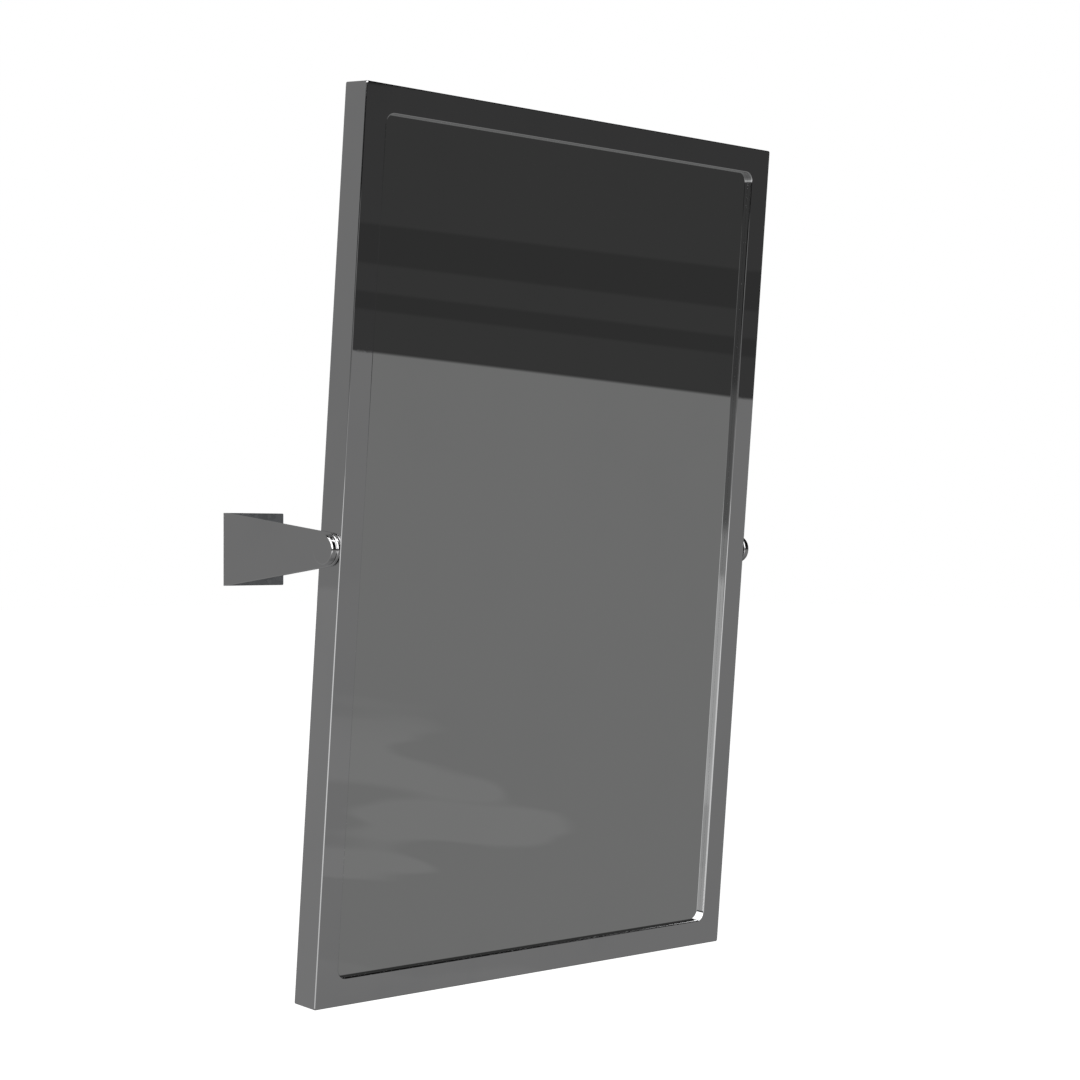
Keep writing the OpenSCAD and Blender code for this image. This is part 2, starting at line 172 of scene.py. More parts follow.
# %% Make and place a group
def new_group(name, inputs, outputs):
    """A group with named sockets. Inputs are name: start value, outputs are name: kind."""
    kinds = {float: "NodeSocketFloat", tuple: "NodeSocketVector"}
    group = bpy.data.node_groups.new(name, "ShaderNodeTree")
    for socket_name, start in inputs.items():
        socket = group.interface.new_socket(socket_name, in_out="INPUT",
                                            socket_type=kinds[type(start)])
        socket.default_value = start
    for socket_name, kind in outputs.items():
        group.interface.new_socket(socket_name, in_out="OUTPUT", socket_type=kinds[kind])
    entry = add_node(group, "NodeGroupInput", (-1200, 0))
    leave = add_node(group, "NodeGroupOutput", (800, 0))
    return group, entry.outputs, leave.inputs


def use_group(tree, group, at=(0, 0), **values):
    return add_node(tree, "ShaderNodeGroup", at, node_tree=group, **values).outputs


# %% [markdown]
# ### Fine grain
#
# Rubber, nylon, board and zinc all have a grain too small to see one by one. Two sizes of noise
# give it: the small one breaks up the light, and the large one keeps the surface from looking
# evenly printed.

# %% Group: fine grain
fine_grain, given, out = new_group(
    "fine_grain", {"Place": (0.0, 0.0, 0.0), "Grain mm": 0.5, "Cloud mm": 20.0},
    {"Grain": float, "Cloud": float})
feed(fine_grain, out["Grain"], noise(fine_grain, given["Place"], given["Grain mm"], 3.0))
cloud = noise(fine_grain, given["Place"], given["Cloud mm"], 2.0, (0, -300))
feed(fine_grain, out["Cloud"], ramp(fine_grain, cloud, 0.3, 0.7, (300, -300)))
print("group made:", fine_grain.name)

# %% [markdown]
# ### Cloth marks
#
# Anything polished has been wiped. A cloth leaves broad patches of faint haze, and a few
# hairlines where grit was dragged along. The lines are noise that is stretched along one
# direction and cut off near its peak. A second set crosses the first at another angle.

# %% Group: cloth marks
cloth_marks, given, out = new_group(
    "cloth_marks", {"Place": (0.0, 0.0, 0.0), "Patch mm": 60.0, "Line mm": 0.5},
    {"Haze": float, "Hairlines": float})
patches = noise(cloth_marks, given["Place"], given["Patch mm"], 4.0)
feed(cloth_marks, out["Haze"], ramp(cloth_marks, patches, 0.45, 0.80, (300, 0)))
STROKES = {"first": (0.35, 0.2, 0.9), "second": (-0.5, 0.4, -0.6)}
STROKE_STRETCH = (1.0, 0.02, 1.0)
line_sets = []
for turn in STROKES.values():
    turned = add_node(cloth_marks, "ShaderNodeMapping", (-600, -400), Vector=given["Place"],
                      Rotation=turn, Scale=STROKE_STRETCH)
    streaks = noise(cloth_marks, turned.outputs[0], given["Line mm"], 1.0, (0, -400))
    line_sets.append(ramp(cloth_marks, streaks, 0.70, 0.78, (300, -400)))
feed(cloth_marks, out["Hairlines"], sum_node(cloth_marks, "MAXIMUM", *line_sets, at=(550, -400)))
print("group made:", cloth_marks.name)

# %% [markdown]
# ### Turning marks
#
# A piece made on a lathe carries fine rings round its axis. The radius alone decides the ring,
# so one-dimensional noise along the radius gives rings of uneven depth, as a real cut does.

# %% Group: turning marks
turning_marks, given, out = new_group("turning_marks", {"Radius": 0.0, "Feed mm": 0.2},
                                      {"Rings": float})
ring_scale = sum_node(turning_marks, "DIVIDE", 1000.0, given["Feed mm"])
rings = add_node(turning_marks, "ShaderNodeTexNoise", (200, 0), noise_dimensions="1D",
                 W=given["Radius"], Scale=ring_scale, Detail=2.0)
feed(turning_marks, out["Rings"], rings.outputs["Fac"])
print("group made:", turning_marks.name)

# %% [markdown]
# ### Thread
#
# The screws and studs are plain cylinders in CAD, as their threads would be far too many faces.
# A thread is a slope that climbs by one pitch in each turn, so height along the axis plus the
# angle round it, folded back and forth, draws its ridges.

# %% Group: thread
thread, given, out = new_group("thread", {"Along": 0.0, "Angle": 0.0, "Pitch mm": 1.0},
                               {"Ridge": float})
turns = sum_node(thread, "DIVIDE", sum_node(thread, "MULTIPLY", given["Along"], 1000.0),
                 given["Pitch mm"])
climb = sum_node(thread, "ADD", turns, sum_node(thread, "DIVIDE", given["Angle"], math.tau))
feed(thread, out["Ridge"], sum_node(thread, "PINGPONG", climb, 0.5, (400, 0)))
print("group made:", thread.name)

# %% [markdown]
# ### Where a point lies on the mirror and on the pivots
#
# Marks follow the piece they are on: the glass has a front and a back, a stud has an axis. The
# first group undoes the mirror's lean, so that its front is a plain direction. The second
# measures from the pivot line, which both studs share.

# %% Group: place on the mirror
LEAN = math.radians(5)
PIVOT = tuple(frame["joints"][0]["pos_m"])
mirror_place, given, out = new_group(
    "mirror_place", {"Place": (0.0, 0.0, 0.0), "Facing": (0.0, 0.0, 0.0)},
    {"Place": tuple, "Frontness": float})
from_pivot = vector_node(mirror_place, "SUBTRACT", given["Place"], PIVOT, (-900, 0))
upright = add_node(mirror_place, "ShaderNodeVectorRotate", (-600, 0), rotation_type="X_AXIS",
                   Vector=from_pivot.outputs[0], Angle=-LEAN)
feed(mirror_place, out["Place"], upright.outputs[0])
front_way = (0.0, -math.cos(LEAN), -math.sin(LEAN))
frontness = vector_node(mirror_place, "DOT_PRODUCT", given["Facing"], front_way, (-600, -300))
feed(mirror_place, out["Frontness"], frontness.outputs["Value"])
print("pivot line at y =", PIVOT[1], "m; the mirror leans", round(math.degrees(LEAN)), "degrees")

# %% Group: place round the pivot line
pivot_place, given, out = new_group("pivot_place", {"Place": (0.0, 0.0, 0.0)},
                                    {"Along": float, "Radius": float, "Angle": float})
from_line = vector_node(pivot_place, "SUBTRACT", given["Place"], PIVOT, (-900, 0))
parts = add_node(pivot_place, "ShaderNodeSeparateXYZ", (-700, 0), Vector=from_line.outputs[0])
feed(pivot_place, out["Along"], sum_node(pivot_place, "ABSOLUTE", parts.outputs["X"]))
across = vector_node(pivot_place, "MULTIPLY", from_line.outputs[0], (0.0, 1.0, 1.0), (-700, -300))
radius = vector_node(pivot_place, "LENGTH", across.outputs[0], at=(-500, -300))
feed(pivot_place, out["Radius"], radius.outputs["Value"])
angle = sum_node(pivot_place, "ARCTAN2", parts.outputs["Z"], parts.outputs["Y"], (-500, 200))
feed(pivot_place, out["Angle"], angle)
print("group made:", pivot_place.name)

# %% [markdown]
# ## The room that the metal sees
#
# Polished metal and mirror glass have no colour of their own: they show the room. Real panels
# could stand round the object, but they would light it unevenly and get into other views. So
# the World draws the studio for glossy rays alone: a wide white softbox at the front left, a
# grey floor that is paler on that side, a dark wall at the right, and dark above. Camera rays
# meet plain white, and matt surfaces get an even soft fill.
#
# A panel is a patch of sky between two turns and two heights, in degrees. Turn 0 is in front
# of the mirror, 90 to its right, and the floor lies below 0.

# %% Group: studio panel
studio_panel, given, out = new_group(
    "studio_panel",
    {"Behind": 0.0, "Turn": 0.0, "Height": 0.0, "Left": 0.0, "Right": 0.0, "Low": 0.0,
     "High": 0.0, "Side blur": 1.0, "Edge blur": 1.0, "Light": 1.0},
    {"Light": float})


def edge(value, limit, blur, at):
    """0 before the limit and 1 past it, over a blur on both sides."""
    before = sum_node(studio_panel, "SUBTRACT", limit, blur, (at[0] - 200, at[1] + 60))
    past = sum_node(studio_panel, "ADD", limit, blur, (at[0] - 200, at[1] - 60))
    return ramp(studio_panel, value, before, past, at)


sideways = sum_node(studio_panel, "SUBTRACT",
                    edge(given["Turn"], given["Left"], given["Side blur"], (-600, 300)),
                    edge(given["Turn"], given["Right"], given["Side blur"], (-600, 100)))
upward = sum_node(studio_panel, "SUBTRACT",
                  edge(given["Height"], given["Low"], given["Edge blur"], (-600, -100)),
                  edge(given["Height"], given["High"], given["Edge blur"], (-600, -300)))
inside = sum_node(studio_panel, "MULTIPLY", sideways, upward, (0, 0))
feed(studio_panel, out["Light"],
     blend_values(studio_panel, inside, given["Behind"], given["Light"], (300, 0)))
print("group made:", studio_panel.name)

# %% [markdown]
# The panels are laid over each other in order, as cards on a table, and each is named after
# what it would be in a real studio. Each grey is what a screen shows after one bounce off the
# chrome, which returns about 0.8 of the light, so the World's own light is that much more. The
# softbox is brighter than white, as real ones are.

# %% The studio's panels
CHROME_SHINE = 0.80
DARK_ROOM = 20
ALL_ROUND = (-200, 200)
PANELS = {
    # name: (left, right), (low, high), side blur, edge blur, screen grey
    "floor": (ALL_ROUND, (-100, -0.4), 1, 0.4, 107),
    "right_near_floor": ((62, 132), (-100, -36), 6, 3, 89),
    "right_near_corner": ((96, 132), (-100, -26), 6, 3, 72),
    "left_wall": ((-200, -98), (-2, 14), 5, 1.0, 107),
    "back_wall_left": ((-200, -126), (-2, 62), 6, 2, 107),
    "back_wall_right": ((122, 200), (-1, 34), 4, 1.5, 107),
    "back_wall_high": ((150, 200), (30, 62), 6, 2, 107),
    "left_floor": ((-200, -98), (-50, -1), 5, 0.1, 113),
    "back_floor": ((150, 200), (-50, -1), 6, 0.5, 113),
    "right_far_floor": ((74, 150), (-31, -1.5), 8, 1.0, 92),
    "right_far_wall": ((82, 122), (-1.5, 24), 6, 1.5, 50),
    "right_back_floor": ((112, 158), (-24, -2), 6, 1.0, 68),
    "dark_wall": ((14, 78), (-3.05, 60), 4, 0.06, 13),
    "wall_foot": ((14, 84), (-3.05, 3.1), 3, 0.06, 51),
    "upper_shelf": ((14, 78), (-1.02, -0.10), 3, 0.05, 45),
    "lower_shelf": ((14, 78), (-2.09, -1.67), 3, 0.05, 45),
    "dado_rail": ((20, 78), (8.3, 11.6), 3, 0.2, 55),
    "pale_floor": ((-86, 18), (-60, -7), 10, 0.5, 204),
    "floor_falls_off": ((-86, 18), (-60, -20), 10, 6, 114),
    "floor_underfoot": ((-96, 28), (-80, -38), 6, 4, 97),
    "pale_floor_edge": ((-76, 12), (-7, -5), 8, 0.3, 137),
    "grey_skirting": ((-76, 12), (-5, -2.5), 8, 0.3, 92),
    "dark_gap": ((-90, 12), (-0.5, 4.1), 4, 0.3, 14),
    "stand_on_floor": ((-58, -44), (-18, -7.4), 2, 0.3, 166),
    "stand_near": ((-58, -44), (-18, -12.4), 2, 0.4, 152),
    "stand_toe": ((-58, -44), (-7.4, -6.2), 2, 0.3, 128),
    "stand_foot": ((-58, -44), (-6.2, -3), 2, 0.3, 84),
    "stand_post": ((-58, -44), (-3, 4.0), 2, 0.4, 58),
    "softbox": ((-95, 38.6), (4.0, 80), 0.5, 0.2, 305),
    "softbox_side": ((-120, -93), (16, 43), 2, 1.5, 305),
    "softbox_shade": ((-112, -73), (46, 58), 6, 3, 67),
    "softbox_flap": ((-108, -58), (3.8, 8.0), 3, 0.5, 22),
}


def seen(level):
    """World light that leaves the chrome at this screen grey."""
    return linear(level) / CHROME_SHINE


print("panels:", len(PANELS), "- the softbox gives", round(seen(305), 2), "times white")

# %% Build the World
world = bpy.data.worlds.new("studio")
scene.world = world
world.use_nodes = True
tree = world.node_tree
tree.nodes.clear()
direction = add_node(tree, "ShaderNodeTexCoord", (-1800, 0)).outputs["Generated"]
axes = add_node(tree, "ShaderNodeSeparateXYZ", (-1600, 0), Vector=direction).outputs
turn = sum_node(tree, "DEGREES", sum_node(tree, "ARCTAN2", axes["X"],
                                          sum_node(tree, "MULTIPLY", axes["Y"], -1.0)))
height = sum_node(tree, "DEGREES", sum_node(tree, "ARCSINE", axes["Z"]))
room = seen(DARK_ROOM)
for index, (sides, levels, side_blur, edge_blur, grey) in enumerate(PANELS.values()):
    room = use_group(tree, studio_panel, (-1200 + 180 * index, 0), Behind=room, Turn=turn,
                     Height=height, Left=sides[0], Right=sides[1], Low=levels[0],
                     High=levels[1], Side_blur=side_blur, Edge_blur=edge_blur,
                     Light=seen(grey))["Light"]
print("studio world has", len(tree.nodes), "nodes")

# %% [markdown]
# A real studio floor isn't quite even. It carries a band of faint pale blotches, stretched
# sideways, as anything on a floor looks from low down.

# %% Mottled floor, and what each kind of ray meets
MOTTLE_STRETCH = (7.0, 7.0, 40.0)
MOTTLE_STARTS = (-18.5, -15.5)  # heights in degrees between which the band fades in
MOTTLE_ENDS = (-12.5, -10.5)
BLOTCH_EDGE = (0.52, 0.57)
BLOTCH_GAIN = 1.13
SOFT_FILL = 0.55
WHITE = (1, 1, 1, 1)
mottle_place = vector_node(tree, "MULTIPLY", direction, MOTTLE_STRETCH).outputs[0]
mottle = add_node(tree, "ShaderNodeTexNoise", (-600, -400), Vector=mottle_place, Scale=1.0,
                  Detail=2.0).outputs["Fac"]
in_band = sum_node(tree, "MULTIPLY", ramp(tree, height, *MOTTLE_STARTS),
                   flipped(tree, ramp(tree, height, *MOTTLE_ENDS)))
paler = sum_node(tree, "MULTIPLY", ramp(tree, mottle, *BLOTCH_EDGE), in_band)
room = sum_node(tree, "MULTIPLY", room, spread(tree, paler, 1.0, BLOTCH_GAIN))

mirror_light = add_node(tree, "ShaderNodeBackground", (200, 0), Color=room)
soft_fill = add_node(tree, "ShaderNodeBackground", (200, -200), Color=WHITE, Strength=SOFT_FILL)
plain_white = add_node(tree, "ShaderNodeBackground", (200, -400), Color=WHITE, Strength=1.0)
rays = add_node(tree, "ShaderNodeLightPath", (0, 400)).outputs
sharp_rays = sum_node(tree, "MAXIMUM", rays["Is Glossy Ray"], rays["Is Transmission Ray"])
by_gloss = add_node(tree, "ShaderNodeMixShader", (450, 0), Fac=sharp_rays)
feed(tree, by_gloss.inputs[1], soft_fill.outputs[0])
feed(tree, by_gloss.inputs[2], mirror_light.outputs[0])
by_camera = add_node(tree, "ShaderNodeMixShader", (650, 0), Fac=rays["Is Camera Ray"])
feed(tree, by_camera.inputs[1], by_gloss.outputs[0])
feed(tree, by_camera.inputs[2], plain_white.outputs[0])
add_node(tree, "ShaderNodeOutputWorld", (850, 0), Surface=by_camera.outputs[0])
print("glossy rays see the studio, camera rays plain white")

# %% [markdown]
# ## Lamps and floor
#
# Two big soft lamps light what isn't polished. They stay out of the reflections, where the
# World already says what is seen. The pale floor lies where a real one would, well below the
# mirror, and keeps its soft shadow. To the camera it glows a little as well, so that it meets
# the white background without a line.


# %% Soft lamps
def soft_lamp(name, place, size, watts):
    """A round soft lamp that looks at the middle of the mirror."""
    data = bpy.data.lights.new(name, "AREA")
    data.shape = "DISK"
    data.size = size
    data.energy = watts
    lamp = bpy.data.objects.new(name, data)
    lamp.location = place
    lamp.rotation_euler = (-Vector(place)).to_track_quat("-Z", "Y").to_euler()
    lamp.visible_glossy = False
    scene.collection.objects.link(lamp)
    print(name, "at", place)


soft_lamp("lamp_overhead", (-0.6, -1.2, 2.6), 2.4, 60)
soft_lamp("lamp_back", (1.4, 2.2, 1.6), 2.0, 25)

# %% Pale floor
FLOOR_Z = -1.45
FLOOR_HALF = 45.0
FLOOR_PAINT = (0.85, 0.85, 0.85, 1)
FLOOR_GLOW = 0.62
floor_mesh = bpy.data.meshes.new("floor")
floor_mesh.from_pydata(
    [(x * FLOOR_HALF, y * FLOOR_HALF, FLOOR_Z) for x, y in ((-1, -1), (1, -1), (1, 1), (-1, 1))],
    [], [(0, 1, 2, 3)])
floor = bpy.data.objects.new("floor", floor_mesh)
scene.collection.objects.link(floor)
floor.visible_glossy = False

floor_paint = bpy.data.materials.new("floor_paint")
floor_paint.use_nodes = True
tree = floor_paint.node_tree
tree.nodes.clear()
matt = add_node(tree, "ShaderNodeBsdfDiffuse", (0, 0), Color=FLOOR_PAINT)
glow = add_node(tree, "ShaderNodeEmission", (0, -200), Color=WHITE, Strength=FLOOR_GLOW)
both = add_node(tree, "ShaderNodeAddShader", (200, 0))
feed(tree, both.inputs[0], matt.outputs[0])
feed(tree, both.inputs[1], glow.outputs[0])
rays = add_node(tree, "ShaderNodeLightPath", (0, 300)).outputs
by_camera = add_node(tree, "ShaderNodeMixShader", (400, 0), Fac=rays["Is Camera Ray"])
feed(tree, by_camera.inputs[1], matt.outputs[0])
feed(tree, by_camera.inputs[2], both.outputs[0])
add_node(tree, "ShaderNodeOutputMaterial", (600, 0), Surface=by_camera.outputs[0])
floor_mesh.materials.append(floor_paint)
print("floor lies", -FLOOR_Z, "m below the pivots")

# %% [markdown]
# ## Giving a finish to a piece
#
# A finish is a material in the first slot of a CAD piece. The piece itself is never touched.
# Every finish works on object coordinates, which stay with the piece when it swings.


# %% Start a finish, add relief, give it to its pieces
def new_finish(name):
    material = bpy.data.materials.new(name)
    material.use_nodes = True
    tree = material.node_tree
    spots = add_node(tree, "ShaderNodeTexCoord", (-1600, 0)).outputs
    return material, tree, tree.nodes["Principled BSDF"], spots


def finish_surface(tree, surface, colour, roughness, height=None, depth_mm=0.05):
    """Feeds the changing colour, roughness and relief of a finish."""
    feed(tree, surface.inputs["Base Color"], colour)
    feed(tree, surface.inputs["Roughness"], roughness)
    if height is not None:
        bump = add_node(tree, "ShaderNodeBump", (-300, -400), Height=height, Strength=1.0,
                        Distance=depth_mm / 1000)
        feed(tree, surface.inputs["Normal"], bump.outputs[0])


def give(material, *names):
    for name in names:
        nodes[name].material_slots[0].material = material
    print(material.name, "->", ", ".join(names))


# %% [markdown]
# ## Polished chrome
#
# The frame, the caps and the brackets are polished and chrome plated. Chrome is almost a
# mirror, so its finish is mostly in what it isn't: a trace of cloth haze, hairlines that show
# only under a lamp, and a ripple far too shallow to bend a straight reflection. The back of a
# wall plate is never polished, so it keeps a dull, blasted look under the same plating.

# %% Polished chrome
BRIGHT_CHROME = (0.80, 0.80, 0.805, 1)
HAZED_CHROME = (0.775, 0.778, 0.785, 1)
DULL_CHROME = (0.56, 0.56, 0.57, 1)
DULL_ROUGHNESS = 0.42
PLATE_BACK = (-0.0007, -0.0003)  # the wall plates' backs lie at y = 0
chrome, tree, surface, spots = new_finish("polished_chrome")
surface.inputs["Metallic"].default_value = 1.0
marks = use_group(tree, cloth_marks, (-1200, 200), Place=spots["Object"], Patch_mm=70.0,
                  Line_mm=0.45)
grain = use_group(tree, fine_grain, (-1200, -200), Place=spots["Object"], Grain_mm=0.4,
                  Cloud_mm=12.0)
wall_side = add_node(tree, "ShaderNodeSeparateXYZ", (-1200, -500), Vector=spots["Object"])
unpolished = ramp(tree, wall_side.outputs["Y"], *PLATE_BACK, (-900, -500))

wiped = blend_colours(tree, marks["Haze"], BRIGHT_CHROME, HAZED_CHROME, (-600, 200))
dulled = blend_colours(tree, grain["Grain"], DULL_CHROME, HAZED_CHROME, (-600, 0))
colour = blend_colours(tree, unpolished, wiped, dulled, (-300, 200))
haze_rough = spread(tree, marks["Haze"], 0.008, 0.022, (-600, -200))
marked_rough = sum_node(tree, "ADD", haze_rough,
                        spread(tree, marks["Hairlines"], 0.0, 0.02), (-450, -200))
roughness = blend_values(tree, unpolished, marked_rough, DULL_ROUGHNESS, (-300, -200))
ripple = spread(tree, grain["Cloud"], 0.0, 0.012, (-600, -600))
relief = blend_values(tree, unpolished, ripple, grain["Grain"], (-450, -600))
finish_surface(tree, surface, colour, roughness, relief, depth_mm=0.06)
give(chrome, "mirror_frame", "pivot_cap_left", "pivot_cap_right", "bracket_left",
     "bracket_right")

# %% [markdown]
# ## Mirror glass
#
# A mirror is clear glass with silver and grey paint on its back. It could be built as glass
# over metal, but one sheet is enough here: from the front it is a flawless flat metal with the
# least green, at the sides it is ground green glass, and at the back sprayed paint. How far a
# face turns to the front tells the three apart.

# %% Mirror glass
SILVER = (0.80, 0.805, 0.80, 1)
WIPED_SILVER = (0.785, 0.79, 0.787, 1)
GREEN_EDGE = (0.20, 0.38, 0.31, 1)
BACK_PAINT = (0.30, 0.32, 0.33, 1)
BACK_PAINT_THIN = (0.38, 0.40, 0.41, 1)
glass, tree, surface, spots = new_finish("silvered_glass")
facing = use_group(tree, mirror_place, (-1300, 300), Place=spots["Object"],
                   Facing=spots["Normal"])["Frontness"]
is_front = ramp(tree, facing, 0.4, 0.6, (-1000, 300))
is_back = ramp(tree, sum_node(tree, "MULTIPLY", facing, -1.0), 0.4, 0.6, (-1000, 100))
marks = use_group(tree, cloth_marks, (-1300, -100), Place=spots["Object"], Patch_mm=140.0,
                  Line_mm=0.4)
grain = use_group(tree, fine_grain, (-1300, -400), Place=spots["Object"], Grain_mm=0.8,
                  Cloud_mm=45.0)
paint = blend_colours(tree, grain["Cloud"], BACK_PAINT, BACK_PAINT_THIN, (-700, 0))
edge_or_paint = blend_colours(tree, is_back, GREEN_EDGE, paint, (-500, 0))
silver = blend_colours(tree, marks["Haze"], SILVER, WIPED_SILVER, (-700, 300))
colour = blend_colours(tree, is_front, edge_or_paint, silver, (-300, 200))
dull = spread(tree, grain["Grain"], 0.32, 0.50, (-700, -300))
shine = spread(tree, marks["Haze"], 0.0, 0.008, (-700, -500))
roughness = blend_values(tree, is_front, dull, shine, (-500, -400))
relief = blend_values(tree, is_front, grain["Grain"], 0.0, (-500, -600))
finish_surface(tree, surface, colour, roughness, relief, depth_mm=0.05)
feed(tree, surface.inputs["Metallic"], is_front)
give(glass, "mirror_glass")

# %% [markdown]
# ## Foil tape and rubber
#
# The glass is bedded against the lip on a thin butyl tape. Its foil face is nearly a mirror, so
# that the tape all but vanishes between the metal and the glass. Foil is soft, and the roller
# that pressed it down left dull patches and fine creases. Behind the glass, rubber blocks hold
# it clear of the metal. Moulded rubber has a fine grain and a pale bloom where wax has risen.

# %% Foil-faced tape
FOIL_BRIGHT = (0.79, 0.795, 0.795, 1)
FOIL_DULL = (0.72, 0.727, 0.73, 1)
foil, tree, surface, spots = new_finish("foil_tape")
surface.inputs["Metallic"].default_value = 1.0
marks = use_group(tree, cloth_marks, (-1200, 200), Place=spots["Object"], Patch_mm=14.0,
                  Line_mm=0.6)
grain = use_group(tree, fine_grain, (-1200, -200), Place=spots["Object"], Grain_mm=0.25,
                  Cloud_mm=5.0)
colour = blend_colours(tree, marks["Haze"], FOIL_BRIGHT, FOIL_DULL, (-500, 200))
roughness = sum_node(tree, "ADD", spread(tree, grain["Grain"], 0.03, 0.07, (-700, 0)),
                     spread(tree, marks["Haze"], 0.0, 0.05, (-700, -150)), (-500, 0))
creases = sum_node(tree, "ADD", spread(tree, marks["Hairlines"], 0.0, 0.6, (-700, -300)),
                   spread(tree, grain["Cloud"], 0.0, 0.3, (-700, -450)), (-500, -300))
finish_surface(tree, surface, colour, roughness, creases, depth_mm=0.01)
give(foil, "glazing_tape")

# %% Black rubber blocks
RUBBER_BLACK = (0.024, 0.024, 0.026, 1)
RUBBER_BLOOM = (0.075, 0.075, 0.078, 1)
rubber, tree, surface, spots = new_finish("black_rubber")
grain = use_group(tree, fine_grain, (-1200, 0), Place=spots["Object"], Grain_mm=0.35,
                  Cloud_mm=9.0)
bloom = sum_node(tree, "MULTIPLY", grain["Cloud"], spread(tree, grain["Grain"], 0.4, 1.0))
colour = blend_colours(tree, bloom, RUBBER_BLACK, RUBBER_BLOOM, (-500, 100))
roughness = spread(tree, bloom, 0.55, 0.85, (-500, -200))
finish_surface(tree, surface, colour, roughness, grain["Grain"], depth_mm=0.06)
give(rubber, "setting_blocks")

# %% [markdown]
# ## Hardboard
#
# The board behind the glass is hardboard: wood fibres pressed hot into a brown sheet. One face
# comes off a smooth plate and one off a wire screen, which leaves its weave in the back. The
# fibres are stretched noise, and two crossing waves press the screen.

# %% Hardboard
BOARD_DARK = (0.22, 0.13, 0.07, 1)
BOARD_PALE = (0.44, 0.29, 0.17, 1)
FIBRE_STRETCH = (1.0, 1.0, 0.12)
SCREEN_PITCH_MM = 1.6
board, tree, surface, spots = new_finish("hardboard")
on_sheet = use_group(tree, mirror_place, (-1400, 200), Place=spots["Object"],
                     Facing=spots["Normal"])
stretched = vector_node(tree, "MULTIPLY", on_sheet["Place"], FIBRE_STRETCH, (-1100, 200))
fibres = noise(tree, stretched.outputs[0], 0.6, 4.0, (-850, 200))
grain = use_group(tree, fine_grain, (-1100, -100), Place=spots["Object"], Grain_mm=1.2,
                  Cloud_mm=35.0)
spot = add_node(tree, "ShaderNodeSeparateXYZ", (-1100, -400), Vector=on_sheet["Place"]).outputs
wires = [sum_node(tree, "SINE", sum_node(tree, "MULTIPLY", spot[axis],
                                         math.tau * 1000 / SCREEN_PITCH_MM))
         for axis in ("X", "Z")]
screen = spread(tree, sum_node(tree, "MULTIPLY", *wires), 0.4, 0.6, (-600, -400))
is_front = ramp(tree, on_sheet["Frontness"], -0.1, 0.1, (-850, -600))
tone = sum_node(tree, "ADD", sum_node(tree, "MULTIPLY", fibres, 0.7),
                sum_node(tree, "MULTIPLY", grain["Cloud"], 0.3))
colour = blend_colours(tree, ramp(tree, tone, 0.25, 0.80), BOARD_DARK, BOARD_PALE, (-300, 200))
roughness = spread(tree, fibres, 0.50, 0.78, (-300, -100))
relief = sum_node(tree, "ADD", fibres, blend_values(tree, is_front, screen, 0.5))
finish_surface(tree, surface, colour, roughness, relief, depth_mm=0.10)
give(board, "backing_board")

# %% [markdown]
# ## Galvanised back pan
#
# The pan is pressed from zinc-coated sheet. The zinc froze into crystals, so the sheet is a
# patchwork in which each patch throws light its own way. Voronoi cells give the patches: each
# cell's random colour sets its tone and its roughness, and a fine grain lies over all of them.

# %% Galvanised back pan
SPANGLE_DARK = (0.45, 0.47, 0.49, 1)
SPANGLE_PALE = (0.64, 0.66, 0.68, 1)
SPANGLE_PER_M = 150.0
RAGGED_PER_M = 300.0
RAGGED_BY = (0.004, 0.004, 0.004)
zinc, tree, surface, spots = new_finish("zinc_sheet")
surface.inputs["Metallic"].default_value = 1.0
ragged = add_node(tree, "ShaderNodeTexNoise", (-1500, -200), Vector=spots["Object"],
                  Scale=RAGGED_PER_M, Detail=2.0).outputs["Color"]
shaken = vector_node(tree, "MULTIPLY_ADD", ragged, RAGGED_BY, (-1300, 0))
feed(tree, shaken.inputs[2], spots["Object"])
crystals = add_node(tree, "ShaderNodeTexVoronoi", (-1050, 0), Vector=shaken.outputs[0],
                    Scale=SPANGLE_PER_M)
chance = add_node(tree, "ShaderNodeSeparateColor", (-850, 0),
                  Color=crystals.outputs["Color"]).outputs
grain = use_group(tree, fine_grain, (-1050, -400), Place=spots["Object"], Grain_mm=0.5,
                  Cloud_mm=90.0)
marks = use_group(tree, cloth_marks, (-1050, -700), Place=spots["Object"], Patch_mm=50.0,
                  Line_mm=0.8)
tone = sum_node(tree, "ADD", sum_node(tree, "MULTIPLY", chance["Red"], 0.65),
                sum_node(tree, "MULTIPLY", grain["Grain"], 0.35))
colour = blend_colours(tree, tone, SPANGLE_DARK, SPANGLE_PALE, (-400, 200))
crystal_rough = spread(tree, chance["Green"], 0.26, 0.40, (-600, -100))
roughness = sum_node(tree, "ADD", crystal_rough, spread(tree, marks["Haze"], 0.0, 0.10))
relief = sum_node(tree, "ADD", sum_node(tree, "MULTIPLY", chance["Blue"], 0.4),
                  sum_node(tree, "MULTIPLY", grain["Grain"], 0.6))
finish_surface(tree, surface, colour, roughness, relief, depth_mm=0.02)
give(zinc, "rear_pan")

# %% [markdown]
# ## Bright zinc screws and studs
#
# Fasteners are turned or rolled from bright bar and zinc plated: silvery, with a breath of
# blue and straw colour from the clear coat that seals the zinc. The studs turn about the pivot
# line. Each back screw has its own axis, so its radius is the distance to the nearest of the
# ten screw places, and the mirror's two lines of symmetry bring those down to three.

# %% What the two share
ZINC_BLUE = (0.60, 0.635, 0.68, 1)
ZINC_STRAW = (0.72, 0.705, 0.655, 1)
THREAD_FADE = 0.0003  # metres over which a thread runs out


